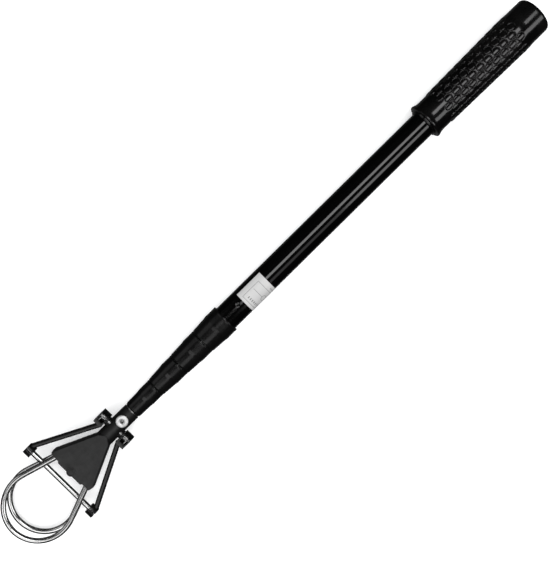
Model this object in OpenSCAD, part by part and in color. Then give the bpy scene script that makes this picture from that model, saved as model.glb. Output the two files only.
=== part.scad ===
// Telescopic golf ball retriever, drawn collapsed. The origin is the centre of the
// grip's butt face, +X runs along the pole to the head, and +Z is the head's front.
// Sections 1 to 5 nest inside each other, and section 5 carries the head.

/* [Grip] */
// Length of the rubber grip
grip_len = 110; // [104:1:120]
// Radius of the smooth band at the butt
butt_r = 13.8; // [12.5:0.1:15]
// Rounding of the butt's edge
butt_round = 2.8; // [1:0.1:4]
// Length of the smooth butt band
butt_len = 16.4; // [12:0.2:25]
// Thickness of the closed wall behind the butt face
butt_wall = 3.2; // [2:0.1:5]
// Distance from the butt face to the end of the raised pattern
pattern_end = 91.7; // [80:0.1:96]
// Height that the raised pattern stands proud
pattern_h = 0.7; // [0.3:0.1:1.2]
// Radius of the smooth neck near the mouth
neck_r = 12.6; // [11.5:0.1:13.4]
// Radius of the flared lip at the mouth
lip_r = 13.75; // [13.2:0.05:15]

/* [Tubes] */
// Outside radius of the handle tube
tube_1_r = 9.5; // [9.3:0.05:9.8]
// Outside radius of the second tube
tube_2_r = 8.25; // [8.1:0.05:8.4]
// Outside radius of the third tube
tube_3_r = 7.1; // [6.9:0.05:7.2]
// Outside radius of the fourth tube
tube_4_r = 5.75; // [5.6:0.05:5.9]
// Outside radius of the fifth tube, which holds the head
tube_5_r = 4.4; // [4.2:0.05:4.6]
// Wall thickness of every tube
tube_wall = 0.7; // [0.5:0.05:0.75]
// Where the second tube starts, from the butt face
nest_start = 18; // [16:1:30]
// How much further in each smaller tube starts
nest_step = 6; // [5:0.5:12]
// Radial clearance of the sliding fits
fit = 0.06; // [0.04:0.01:0.09]

/* [Bushes] */
// Length of the bush sleeve round a tube's inner end
bush_len = 20; // [12:1:30]
// Thickness of the bush's end disc
bush_disc = 3.6; // [2:0.1:4]

/* [Collars] */
// Where the first collar starts, from the butt face
collar_start = 303.5; // [290:0.5:315]
// Length of each collar
collar_len = 22.85; // [20:0.05:24]
// Wall of a collar over its tube
collar_wall = 1.5; // [1.2:0.05:1.8]
// Depth that a tube's end sits in its collar
collar_seat = 10.5; // [8:0.5:14]
// Gap between a collar and the next one, pole collapsed
collar_gap = 0.15; // [0.1:0.05:0.5]
// Drop in radius behind the collar's cylindrical half
collar_step = 0.4; // [0.2:0.05:0.6]

/* [Label] */
// Length of the label along the tube
label_len = 22; // [15:0.5:30]
// Start of the label, from the butt face
label_start = 264.3; // [240:0.1:275]
// Thickness of the label
label_t = 0.12; // [0.1:0.01:0.2]
// Angle of the label past the top, on the -Y side
label_lead = 45; // [20:1:60]
// Angle that the label covers round the tube
label_wrap = 195; // [120:1:220]

/* [Head] */
// Gap between the last collar and the head
head_gap = 1; // [0.5:0.1:3]
// Radius of the head's round neck
stem_r = 6.3; // [6:0.05:6.5]
// Length of the neck
stem_len = 26; // [25:0.5:28]
// Length of the flared plate
plate_len = 34; // [33:0.2:36]
// Half width of the plate's end
plate_half_w = 19.3; // [19:0.05:20]
// Half thickness of the plate's end
plate_half_t = 8.4; // [8.2:0.05:9]
// Half thickness of the plate's narrow end
plate_tip_t = 6.9; // [6.6:0.05:7.4]
// How far the plate's walls lean inwards between the parting plane and the face
draft = 1.3; // [0.6:0.05:1.6]
// Depth that the pole's tip goes into the neck
tip_depth = 13.6; // [12.6:0.1:14]
// Distance from the neck's start to the rivet
rivet_x = 8.7; // [8.3:0.1:9]
// Radius of the rivet's head
rivet_head_r = 4.35; // [3.8:0.05:4.8]
// Radius of the rivet's shank
rivet_r = 2.2; // [1.8:0.1:2.4]
// Radius of the round boss in the middle of the plate's end
boss_r = 3.05; // [2.9:0.05:3.3]

/* [Loops] */
// Radius of the loop wire
wire_r = 2; // [1.8:0.05:2.1]
// Radius of the loop's centreline
loop_r = 24; // [23.6:0.1:24.6]
// Distance from the plate's end to the loop's centre
loop_reach = 30.1; // [29.5:0.1:30.5]
// Distance from the axis to a leg at the plate's end
leg_y = 15.1; // [14.8:0.1:15.3]
// Height of a loop's legs above the middle plane, at the plate's end
leg_z = 5.4; // [5.2:0.05:5.5]
// Angle between a loop and the middle plane
loop_tilt = 6.6; // [6:0.1:7.4]
// Angle that both loops are turned sideways, towards +Y
loop_yaw = 2; // [0:0.5:2.5]
// Length of a leg inside the plate
leg_inset = 9.6; // [8:0.2:10]
// Length of the hook at a leg's end
hook_len = 3; // [1:0.5:4]
// Radius of the bend between a leg and its hook
hook_r = 3; // [2.5:0.1:3.5]

/* [Gate] */
// Distance from the neck's start to the gate's pivot
pivot_x = 16.5; // [16.2:0.1:17.5]
// Radius of the pivot pin
pin_r = 1.5; // [1.2:0.05:1.6]
// Distance from the pivot to the gate bar
gate_r = 53.4; // [53:0.1:54]
// Radius of the gate bar
bar_r = 1.9; // [1.6:0.05:1.95]
// Clearance between the gate bar and the loops at each end of its swing
gate_gap = 0.25; // [0.2:0.01:0.5]
// Distance from the axis to the arms' inner faces
arm_in = 7.5; // [7.4:0.05:7.8]
// Distance from the axis to the arms' outer faces
arm_out = 14.2; // [14:0.1:14.6]
// Width of an arm's rod
rod_w = 3.7; // [3.4:0.1:4]
// Height of an arm's rod
rod_h = 4.4; // [4:0.1:6]
// Distance from the axis to the feet's inner faces
foot_in = 27.5; // [27:0.1:28]
// Distance from the axis to the feet's outer faces
foot_out = 33.3; // [33.2:0.1:34]
// Radius of a foot round the gate bar
foot_r = 4.3; // [3.8:0.05:4.6]

/* [Springs] */
// Radius of the spring wire
spring_wire_r = 0.45; // [0.35:0.05:0.45]
// Mean radius of the spring's turns
spring_r = 2.55; // [2.3:0.05:2.6]

/* [Hidden] */
$fn = 96;

tube_r = [tube_1_r, tube_2_r, tube_3_r, tube_4_r, tube_5_r];

// The head's main stations along X
neck_x = collar_start + 4 * collar_len + head_gap;
plate_x = neck_x + stem_len;
end_x = plate_x + plate_len;
hinge_x = neck_x + pivot_x;

// Stations of section i, from 1 to 5
function tube_from(i) = i == 1 ? butt_wall + plug_flange : nest_start + (i - 2) * nest_step;
function collar_from(i) = collar_start + (i - 1) * collar_len;
function tube_to(i) = i == 5 ? neck_x + tip_depth : collar_from(i) + collar_seat;
function collar_r(i) = i == 5 ? stem_r : tube_r[i - 1] + collar_wall;
function nose_r(i) = collar_r(i + 1) + nose_margin;

// Grip and collars
nose_margin = 0.3;
lip_len = 7.2;
lip_face = 1.2;
// End plug
plug_flange = 1.2;
plug_len = 8;
// Staking dimples that lock the handle tube to its collar
stake_x = collar_start - 13;
stake_ball_r = 2.4;
stake_depth = 0.5;
// Head details
corner_len = 5;
corner_w = 0.5;
tuck = 0.5;
point_len = 3.5;
point_w = 0.8;
bulge_len = 1.2;
bulge_half_w = 12.2;
stem_overlap = 4;
boss_x = end_x - 1.9;
boss_proud = 0.4;
ring_in_r = 1.9;
ring_out_r = 2.6;
ring_depth = 0.6;
seat_r = rivet_head_r + 0.3;
seat_z = stem_r + 0.15;
pocket_fit = 0.1;
knuckle_r = 3.4;
knuckle_out = 7.2;
window_len = 4.6;
window_in = 4.5;
rivet_head_t = 0.8;
rivet_bore_r = 1;
screw_r = 1.25;
screw_head_r = 2.1;
screw_head_t = 1.6;
screw_len = 14;
screw_base = -plate_half_t + 0.4;
screw_slot_w = 0.6;
screw_slot_len = 2.6;
channel_fit = 0.02;
// Gate details: the bar's swing is set by the loops that it lies between
bar_x = hinge_x + gate_r;
wire_z_at_bar = leg_z + (bar_x - end_x) * tan(loop_tilt);
bar_swing_z = wire_z_at_bar - wire_r / cos(loop_tilt) - bar_r - gate_gap;
rest_angle = asin(bar_swing_z / gate_r);
block_r = 5;
block_front = 6.2;
cheek_in = 1;
cheek_out = 0.9;
pocket_half_len = 3.5;
rod_from = [6.5, 9.3];
rod_to = [50, 31.2];
rod_root = 1.5;
foot_slot_w = 1.6;
// Loop legs: the leg's slope makes it tangent to the loop's circle
leg_slope = asin(loop_r / norm([loop_reach, leg_y])) - atan2(leg_y, loop_reach);
leg_dir = [cos(leg_slope), sin(leg_slope)];
hook_centre = [0, leg_y] - leg_inset * leg_dir - hook_r * [-leg_dir.y, leg_dir.x];
// Springs
spring_turns = 3.25;
spring_from = 90;
spring_pitch = 2 * spring_wire_r + 0.02;
spring_y = arm_in + cheek_in + spring_wire_r + 0.1;
spring_drop = 1.4;
spring_bend_r = 0.8;
spring_tail = 3;
spring_leg = 4.6;

// ---- helpers ----

// Turns a shape drawn along +Z so that it lies along +X
module along_x(x = 0) {
    translate([x, 0, 0]) rotate([0, 90, 0]) children();
}

// A cylinder along Y, from y0 to y1, at [x, z]
module rod_y(r, y0, y1, x = 0, z = 0) {
    translate([x, y0, z]) rotate([-90, 0, 0]) cylinder(r = r, h = y1 - y0);
}

// A hollow cylinder along X
module pipe(r_out, r_in, x0, x1) {
    along_x(x0) difference() {
        cylinder(r = r_out, h = x1 - x0);
        translate([0, 0, -1]) cylinder(r = r_in, h = x1 - x0 + 2);
    }
}

// ---- handle section ----

module grip_profile() {
    mouth_x = grip_len - lip_face;
    polygon(concat(
        [[0, 0]],
        [for (a = [-90:15:0]) [butt_r - butt_round + butt_round * cos(a), butt_round + butt_round * sin(a)]],
        [
            [butt_r, butt_len], [butt_r + pattern_h, butt_len + pattern_h],
            [neck_r + pattern_h, pattern_end - pattern_h], [neck_r, pattern_end],
            [neck_r, grip_len - lip_len]
        ],
        [for (t = [1:4]) [neck_r + (lip_r - neck_r) * (t / 4) ^ 2, grip_len - lip_len + 4.2 * t / 4]],
        [
            [lip_r, mouth_x - 0.6], [lip_r - 0.6, mouth_x], [tube_1_r + 1.6, mouth_x],
            [tube_1_r + 1.2, grip_len], [tube_1_r, grip_len], [tube_1_r, butt_wall], [0, butt_wall]
        ]
    ));
}

module grip_sleeve() {
    color("#141414") along_x() rotate_extrude() grip_profile();
}

module end_plug() {
    color("#2b2b2b") along_x(butt_wall) {
        cylinder(r = tube_1_r - channel_fit, h = plug_flange);
        cylinder(r = tube_1_r - tube_wall - channel_fit, h = plug_flange + plug_len);
    }
}

// Section i's tube, open at both ends
module section_tube(i) {
    pipe(tube_r[i - 1], tube_r[i - 1] - tube_wall, tube_from(i), tube_to(i));
}

module main_tube() {
    color("#0b0b0b") difference() {
        section_tube(1);
        for (a = [10, 130, 250])
            rotate([a, 0, 0])
                translate([stake_x, 0, tube_1_r + stake_ball_r - stake_depth])
                    sphere(r = stake_ball_r);
    }
}

module label() {
    color("white") along_x(label_start) rotate([0, 0, 180 + label_lead - label_wrap])
        rotate_extrude(angle = label_wrap)
            translate([tube_1_r, 0]) square([label_t, label_len]);
}

// ---- collars, tubes and bushes of the telescope ----

module collar(i) {
    r = collar_r(i);
    bore_r = tube_r[i] + fit;
    front = collar_len - collar_gap;
    color("#1f1f1f") along_x(collar_from(i)) rotate_extrude() polygon([
        [tube_r[i - 1], 0], [r - 0.35, 0], [r, 0.35], [r, collar_seat],
        [r - collar_step, collar_seat + 1.2], [nose_r(i), front - 0.6],
        [nose_r(i) - 0.4, front], [bore_r, front], [bore_r, collar_seat],
        [tube_r[i - 1], collar_seat]
    ]);
}

module collar_1() { collar(1); }
module collar_2() { collar(2); }
module collar_3() { collar(3); }
module collar_4() { collar(4); }

module tube_2() { color("#c4c6c8") section_tube(2); }
module tube_3() { color("#c4c6c8") section_tube(3); }
module tube_4() { color("#c4c6c8") section_tube(4); }

module tube_5() {
    color("#c4c6c8") difference() {
        section_tube(5);
        translate([neck_x + rivet_x, 0, -tube_5_r - 1])
            cylinder(r = rivet_r + channel_fit, h = 2 * tube_5_r + 2);
    }
}

// A bush caps section i's inner end, slides in the larger tube and lets section i turn
module bush(i) {
    r = tube_r[i - 2] - tube_wall - fit;
    color("#e8e6df") along_x(tube_from(i) - 0.3 - bush_disc) difference() {
        cylinder(r = r, h = bush_disc + 0.3 + bush_len);
        translate([0, 0, bush_disc]) cylinder(r = tube_r[i - 1] + fit, h = bush_len + 1);
    }
}

module bush_2() { bush(2); }
module bush_3() { bush(3); }
module bush_4() { bush(4); }
module bush_5() { bush(5); }

// ---- head ----

// Half of the plate's outline at the parting plane, from its narrow end on the +Y side
plate_outline = [
    [plate_x - point_len, point_w], [plate_x, stem_r - tuck],
    [end_x - corner_len, plate_half_w - 0.2], [end_x - corner_len / 2, plate_half_w],
    [end_x, plate_half_w - corner_w], [end_x, bulge_half_w], [end_x + bulge_len, bulge_half_w - 1]
];

// Joins half an outline to its mirror image across the X axis
function both_halves(half) = concat(half, [for (p = reversed(half)) [p.x, -p.y]]);

function reversed(list) = [for (i = [len(list) - 1:-1:0]) list[i]];

// A clockwise outline with every edge moved inwards by d
function inset(outline, d) = let (n = len(outline)) [
    for (i = [0:n - 1])
        let (
            before = outline[i] - outline[(i + n - 1) % n],
            after = outline[(i + 1) % n] - outline[i],
            normal_1 = [before.y, -before.x] / norm(before),
            normal_2 = [after.y, -after.x] / norm(after)
        )
            outline[i] + d * (normal_1 + normal_2) / (1 + normal_1 * normal_2)
];

// The front half of the plate: its walls lean inwards up to a face that rises to the end
module plate_half() {
    base = both_halves(plate_outline);
    face = inset(base, draft);
    n = len(base);
    rise = (plate_half_t - plate_tip_t) / plate_len;
    points = concat(
        [for (p = base) [p.x, p.y, 0]],
        [for (p = face) [p.x, p.y, plate_tip_t + (p.x - plate_x) * rise]]
    );
    walls = [for (i = [0:n - 1]) let (j = (i + 1) % n) [j + n, i + n, i, j]];
    polyhedron(points, concat([[for (i = [n - 1:-1:0]) i], [for (i = [0:n - 1]) i + n]], walls));
}

// The round parts of the front half: the neck, the rivet's seat, the hinge knuckle and the boss
module round_half() {
    intersection() {
        union() {
            along_x(neck_x) cylinder(r = stem_r, h = stem_len + stem_overlap);
            translate([neck_x + rivet_x, 0, 0]) cylinder(r = seat_r, h = seat_z);
            rod_y(knuckle_r, -knuckle_out, knuckle_out, hinge_x);
            translate([boss_x, 0, 0]) cylinder(r = boss_r, h = plate_half_t + boss_proud);
        }
        translate([neck_x - 5, -50, 0]) cube([100, 100, 30]);
    }
}

// The slot for the leg on the +Y side, open to the parting plane, and the pocket for its hook;
// drawn in the loop's plane
module leg_channel(side) {
    slot_r = wire_r + channel_fit;
    slot_z = side > 0 ? -leg_z - 1 : 0;
    reach = hook_r + wire_r + pocket_fit;
    pocket_z = side > 0 ? slot_z : -wire_r - pocket_fit;
    pocket_h = leg_z + 1 + wire_r + pocket_fit;
    translate([0, leg_y, 0]) rotate([0, 0, leg_slope]) translate([-leg_inset, 0, 0]) {
        along_x() cylinder(r = slot_r, h = leg_inset + 20);
        translate([0, -slot_r, slot_z]) cube([leg_inset + 20, 2 * slot_r, leg_z + 1]);
    }
    translate([hook_centre.x, hook_centre.y, pocket_z]) {
        cylinder(r = reach, h = pocket_h);
        translate([-reach, -hook_len - pocket_fit, 0]) cube([reach, hook_len + pocket_fit, pocket_h]);
    }
}

// The space that the head's inner parts take out of one shell
module head_cavity(side) {
    along_x(neck_x - 1) cylinder(r = tube_5_r + channel_fit, h = tip_depth + 1.2);
    translate([neck_x + rivet_x, 0, -20]) cylinder(r = rivet_r + channel_fit, h = 40);
    rod_y(pin_r + channel_fit, -20, 20, hinge_x);
    for (s = [0, 1]) {
        loop_plane(side) mirror([0, s, 0]) leg_channel(side);
        mirror([0, s, 0]) gate_frame()
            rod_y(2 * spring_wire_r, window_in + 0.3, 9, -spring_r, -spring_drop - spring_bend_r);
    }
    translate([boss_x, 0, screw_base]) cylinder(r = screw_r + channel_fit, h = screw_len + 0.5);
}

// One half of the head; side is 1 for the front half and -1 for the back half
module head_shell(side) {
    difference() {
        mirror([0, 0, side > 0 ? 0 : 1]) {
            plate_half();
            round_half();
        }
        head_cavity(side);
    }
}

// The front half has windows over the hinge and a ring sunk in its boss
module head_shell_front() {
    window_w = knuckle_out - 0.6 - window_in;
    color("#262626") difference() {
        head_shell(1);
        for (s = [0, 1])
            mirror([0, s, 0]) translate([hinge_x - window_len / 2, window_in, 0.3])
                cube([window_len, window_w, 20]);
        translate([boss_x, 0, plate_half_t + boss_proud - ring_depth]) difference() {
            cylinder(r = ring_out_r, h = 2);
            translate([0, 0, -1]) cylinder(r = ring_in_r, h = 4);
        }
    }
}

// The back half has a recess for the screw's head
module head_shell_back() {
    color("#262626") difference() {
        head_shell(-1);
        translate([boss_x, 0, -plate_half_t - 1])
            cylinder(r = screw_head_r + pocket_fit, h = screw_base + screw_head_t + plate_half_t + 1);
    }
}

// Tubular rivet through the neck and the pole's tip
module head_rivet() {
    h = seat_z + rivet_head_t;
    profile = [
        [rivet_bore_r, -h], [rivet_head_r - 0.4, -h], [rivet_head_r, -h + 0.4],
        [rivet_head_r, -seat_z], [rivet_r, -seat_z], [rivet_r, seat_z],
        [rivet_head_r, seat_z], [rivet_head_r, h - 0.4], [rivet_head_r - 0.4, h],
        [rivet_head_r - 1.2, h], [rivet_head_r - 1.6, h - 0.3], [rivet_bore_r, h - 0.3]
    ];
    color("#d9dadc") translate([neck_x + rivet_x, 0, 0]) rotate_extrude() polygon(profile);
}

// Screw that closes the plate's end from the back
module shell_screw() {
    color("#4a4a4a") translate([boss_x, 0, screw_base]) difference() {
        union() {
            cylinder(r = screw_head_r, h = screw_head_t);
            cylinder(r = screw_r, h = screw_len);
        }
        for (a = [0, 90])
            rotate([0, 0, a]) translate([-screw_slot_len / 2, -screw_slot_w / 2, -1])
                cube([screw_slot_len, screw_slot_w, 1.8]);
    }
}

// ---- loops ----

// Points round an arc in the loop's plane, with their outward directions
function arc(centre, r, from, to, steps) = [
    for (k = [0:steps])
        let (a = from + (to - from) * k / steps, out = [cos(a), sin(a), 0])
            [[centre.x, centre.y, 0] + r * out, out]
];

// Half of the loop's path, from the tip of a hook to the loop's circle; side is 1 or -1
function half_path(side) = let (
    tip = [[hook_centre.x - hook_r, side * (hook_centre.y - hook_len), 0], [-1, 0, 0]],
    corner = arc([hook_centre.x, side * hook_centre.y], hook_r, side * 180, side * (90 + leg_slope), 5)
) concat([tip], corner);

loop_path = concat(
    half_path(-1),
    arc([loop_reach, 0], loop_r, -90 - leg_slope, 90 + leg_slope, 48),
    reversed(half_path(1))
);

// Places a shape drawn in a loop's plane; side is 1 for the front loop, -1 for the back
module loop_plane(side) {
    translate([end_x, 0, side * leg_z]) rotate([0, 0, loop_yaw]) rotate([0, -side * loop_tilt, 0])
        children();
}

module loop(side) {
    loop_plane(side) wire(loop_path, wire_r, 16);
}

module loop_front() { color("#d4d6d8") loop(1); }
module loop_back() { color("#d4d6d8") loop(-1); }

// ---- gate ----

module pivot_pin() {
    color("#cfcfcf") rod_y(pin_r, -arm_out + 0.1, arm_out - 0.1, hinge_x);
}

// The gate's own frame: its origin is on the pivot and its bar is on +X
module gate_frame() {
    translate([hinge_x, 0, 0]) rotate([0, rest_angle, 0]) children();
}

// The arm on the +Y side, in the gate's frame
module arm() {
    run = rod_to - rod_from;
    color("#1c1c1c") difference() {
        union() {
            rod_y(block_r, arm_in, arm_out);
            translate([0, arm_in, -block_r + 0.4])
                cube([block_front, arm_out - arm_in, 2 * block_r - 0.8]);
            translate([rod_from.x, rod_from.y, -rod_h / 2]) rotate([0, 0, atan2(run.y, run.x)])
                translate([-rod_root, -rod_w / 2, 0]) cube([norm(run) + rod_root, rod_w, rod_h]);
            rod_y(foot_r, foot_in, foot_out, gate_r);
        }
        rod_y(pin_r + fit, 0, 20, 0);
        rod_y(bar_r + channel_fit, 20, 40, gate_r);
        translate([-pocket_half_len, arm_in + cheek_in, -pocket_half_len])
            cube([2 * pocket_half_len, arm_out - cheek_out - arm_in - cheek_in, 20]);
        translate([gate_r - foot_slot_w / 2, foot_in - 1, 0])
            cube([foot_slot_w, foot_out - foot_in + 2, 20]);
        rod_y(spring_wire_r + 0.1, arm_in - 1, arm_in + cheek_in + 0.2, -spring_r, -spring_drop - spring_bend_r);
        translate([0, spring_y + spring_turns * spring_pitch, spring_r]) rotate([0, 90, 0])
            cylinder(r = spring_wire_r + 0.1, h = spring_leg + 0.1);
    }
}

module arm_right() { gate_frame() arm(); }
module arm_left() { gate_frame() mirror([0, 1, 0]) arm(); }

module gate_bar() {
    color("#d4d6d8") gate_frame() rod_y(bar_r, -foot_out, foot_out, gate_r);
}

// ---- springs ----

// One point of the spring's path with its radial direction
function turn_point(a, y) = [[spring_r * cos(a), y, spring_r * sin(a)], [cos(a), 0, sin(a)]];

// The spring's path: a leg along +X, the turns, and a tail that bends towards the neck
spring_path = concat(
    [for (s = [1, 0.5]) [[spring_leg * s, spring_y + spring_turns * spring_pitch, spring_r], [0, 0, 1]]],
    [
        for (k = [0:16 * spring_turns])
            turn_point(spring_from + k * 22.5, spring_y + (spring_turns - k / 16) * spring_pitch)
    ],
    [[[-spring_r, spring_y, -spring_drop], [-1, 0, 0]]],
    [
        for (a = [30:30:90])
            [[-spring_r, spring_y - spring_bend_r * (1 - cos(a)), -spring_drop - spring_bend_r * sin(a)], [-1, 0, 0]]
    ],
    [[[-spring_r, spring_y - spring_bend_r - spring_tail, -spring_drop - spring_bend_r], [-1, 0, 0]]]
);

// A round wire swept along path, whose entries are [point, sideways direction]
module wire(path, r, sides = 8) {
    n = len(path);
    unit = function(v) v / norm(v);
    heading = function(i) unit(path[min(i + 1, n - 1)][0] - path[max(i - 1, 0)][0]);
    points = [
        for (i = [0:n - 1])
            let (across = path[i][1], up = unit(cross(heading(i), across)))
                for (k = [0:sides - 1])
                    path[i][0] + r * (cos(k * 360 / sides) * across + sin(k * 360 / sides) * up)
    ];
    walls = [
        for (i = [0:n - 2], k = [0:sides - 1])
            let (a = i * sides + k, b = i * sides + (k + 1) % sides)
                [a, a + sides, b + sides, b]
    ];
    caps = [[for (k = [0:sides - 1]) k], [for (k = [sides - 1:-1:0]) (n - 1) * sides + k]];
    polyhedron(points, concat(walls, caps), convexity = 6);
}

module spring_right() { color("#cfd1d3") gate_frame() wire(spring_path, spring_wire_r); }
module spring_left() {
    color("#cfd1d3") gate_frame() mirror([0, 1, 0]) wire(spring_path, spring_wire_r);
}

grip_sleeve();
end_plug();
main_tube();
label();
collar_1();
collar_2();
collar_3();
collar_4();
tube_2();
tube_3();
tube_4();
tube_5();
bush_2();
bush_3();
bush_4();
bush_5();
head_shell_front();
head_shell_back();
head_rivet();
shell_screw();
loop_front();
loop_back();
pivot_pin();
arm_left();
arm_right();
gate_bar();
spring_left();
spring_right();
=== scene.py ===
"""Looks of a telescopic golf ball retriever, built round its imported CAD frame.

Objects are in metres, in the row frame: +X runs along the pole from the grip's butt to the head, and +Z is
the head's front. Sizes here are in millimetres, and turn into metres where a mesh is made.
"""
import math

import bmesh
import bpy
import numpy as np
from mathutils import Matrix, Vector


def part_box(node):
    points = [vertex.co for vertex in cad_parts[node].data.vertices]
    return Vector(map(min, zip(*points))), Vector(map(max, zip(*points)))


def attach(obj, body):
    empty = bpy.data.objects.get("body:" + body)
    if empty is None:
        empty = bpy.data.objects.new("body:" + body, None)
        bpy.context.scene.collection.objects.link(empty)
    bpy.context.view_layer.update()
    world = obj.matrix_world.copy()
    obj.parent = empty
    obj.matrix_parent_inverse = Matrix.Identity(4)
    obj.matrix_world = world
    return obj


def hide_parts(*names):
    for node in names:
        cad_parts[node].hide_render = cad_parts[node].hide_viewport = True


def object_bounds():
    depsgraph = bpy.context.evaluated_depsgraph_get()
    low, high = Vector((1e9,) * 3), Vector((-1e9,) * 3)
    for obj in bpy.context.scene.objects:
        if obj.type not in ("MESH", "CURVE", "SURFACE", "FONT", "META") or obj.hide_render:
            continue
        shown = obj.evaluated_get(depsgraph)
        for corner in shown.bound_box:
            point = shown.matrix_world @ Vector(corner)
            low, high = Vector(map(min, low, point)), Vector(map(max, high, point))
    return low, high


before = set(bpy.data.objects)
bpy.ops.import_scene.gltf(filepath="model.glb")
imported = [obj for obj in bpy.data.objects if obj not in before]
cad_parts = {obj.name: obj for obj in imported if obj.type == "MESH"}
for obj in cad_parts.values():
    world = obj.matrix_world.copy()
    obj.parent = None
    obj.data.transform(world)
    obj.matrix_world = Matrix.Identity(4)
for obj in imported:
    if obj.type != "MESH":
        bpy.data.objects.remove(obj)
cad_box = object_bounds()

MM = 0.001
TAU = 2 * math.pi
FINE = 192            # facets round a turned part
MERGE = 0.002         # points nearer than this become one


# ---------------------------------------------------------------- sizes from the frame

def span(node):
    """A node's extent along the pole, in millimetres."""
    low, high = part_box(node)
    return low.x / MM, high.x / MM


def radius(node):
    """A turned node's outer radius, in millimetres."""
    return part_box(node)[1].z / MM


pole_r = radius("main_tube")
label_from, label_to = span("label")
label_len = label_to - label_from
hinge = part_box("pivot_pin")
hinge_x = (hinge[0].x + hinge[1].x) / 2 / MM
bar_low, bar_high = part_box("gate_bar")
bar_x = (bar_low.x + bar_high.x) / 2 / MM
bar_z = (bar_low.z + bar_high.z) / 2 / MM
bar_r = (bar_high.z - bar_low.z) / 2 / MM
rest_angle = math.atan2(-bar_z, bar_x - hinge_x)

# Sizes inside the CAD design, which no node's box gives
TUBE_WALL = 0.7
SLIDE_FIT = 0.06      # radial gap of a tube in its collar, and of a bush on its tube
GLUE_FIT = 0.02       # radial gap where a piece is pressed onto another
SEAT_DEPTH = 10.5     # how far a tube's end sits in its collar
NECK_R = 6.3          # the head's round neck
BUSH_DISC = 3.6       # thickness of a bush's end
PLUG_FLANGE = 1.2     # thickness of the plug's flange

# ---------------------------------------------------------------- mesh helpers

def finish_mesh(name, verts, faces, sharp=40, uvs=None):
    """A smooth-shaded mesh object with sharp edges above an angle, from points in millimetres."""
    mesh = bpy.data.meshes.new(name)
    mesh.from_pydata([tuple(v) for v in np.asarray(verts) * MM], [], faces)
    if uvs is not None:
        layer = mesh.uv_layers.new(name="UVMap")
        corner = np.empty(len(mesh.loops), np.int64)
        mesh.loops.foreach_get("vertex_index", corner)
        layer.data.foreach_set("uv", np.asarray(uvs, np.float32)[corner].ravel())
    mesh.validate()
    mesh.polygons.foreach_set("use_smooth", [True] * len(mesh.polygons))
    mesh.set_sharp_from_angle(angle=math.radians(sharp))
    piece = bpy.data.objects.new(name, mesh)
    bpy.context.scene.collection.objects.link(piece)
    return piece


def rounded(outline, steps=5):
    """Outline points (x, r, fillet) as plain points, with each corner turned into an arc of that fillet."""
    points = []
    count = len(outline)
    for i, (x, r, fillet) in enumerate(outline):
        here = np.array([x, r], float)
        if fillet <= 0:
            points.append(here)
            continue
        before = np.array(outline[i - 1][:2], float) - here
        after = np.array(outline[(i + 1) % count][:2], float) - here
        len_before, len_after = np.linalg.norm(before), np.linalg.norm(after)
        before, after = before / len_before, after / len_after
        half = math.acos(np.clip(before @ after, -1, 1)) / 2
        back = min(fillet / math.tan(half), 0.49 * len_before, 0.49 * len_after)
        arc_r = back * math.tan(half)
        middle = here + (before + after) / np.linalg.norm(before + after) * (arc_r / math.sin(half))
        start, end = here + before * back - middle, here + after * back - middle
        a0, a1 = math.atan2(start[1], start[0]), math.atan2(end[1], end[0])
        turn = (a1 - a0 + math.pi) % TAU - math.pi
        for k in range(steps + 1):
            a = a0 + turn * k / steps
            points.append(middle + arc_r * np.array([math.cos(a), math.sin(a)]))
    return points


def grid_faces(rows, cols, close_rows):
    """Quads over a grid whose columns wrap round, and whose rows wrap round if asked."""
    faces = []
    for i in range(rows if close_rows else rows - 1):
        j = np.arange(cols)
        a, b = i * cols, (i + 1) % rows * cols
        n = (j + 1) % cols
        faces.extend(zip((a + j).tolist(), (b + j).tolist(), (b + n).tolist(), (a + n).tolist()))
    return faces


def lathe(name, outline, closed=True, segments=FINE, sharp=40, height=None):
    """Turns an outline of (x, r, fillet), or of (x, r), round the pole's axis.

    An open outline starts and ends on the axis. height(x, angle) is added to the radius.
    """
    points = np.array(rounded(outline) if len(outline[0]) == 3 else outline, float)
    rows, angle = len(points), np.arange(segments) / segments * TAU
    x = np.repeat(points[:, 0], segments).reshape(rows, segments)
    r = np.repeat(points[:, 1], segments).reshape(rows, segments)
    if height is not None:
        r = r + height(x, np.tile(angle, (rows, 1)))
    verts = np.stack([x, r * np.sin(angle), r * np.cos(angle)], -1).reshape(-1, 3)
    faces = grid_faces(rows, segments, closed)
    piece = finish_mesh(name, verts, faces, sharp)
    clean(piece, sharp)
    return piece


def clean(piece, sharp=40):
    """Merges points that coincide, closes open rims and makes every face look outwards."""
    mesh = bmesh.new()
    mesh.from_mesh(piece.data)
    bmesh.ops.remove_doubles(mesh, verts=mesh.verts, dist=MERGE * MM)
    rims = [e for e in mesh.edges if e.is_boundary]
    if rims:
        bmesh.ops.holes_fill(mesh, edges=rims, sides=0)
    bmesh.ops.recalc_face_normals(mesh, faces=mesh.faces)
    mesh.to_mesh(piece.data)
    mesh.free()
    piece.data.set_sharp_from_angle(angle=math.radians(sharp))


def face_outwards(piece):
    """Makes every face of a closed mesh look outwards."""
    mesh = bmesh.new()
    mesh.from_mesh(piece.data)
    bmesh.ops.recalc_face_normals(mesh, faces=mesh.faces)
    mesh.to_mesh(piece.data)
    mesh.free()


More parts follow.
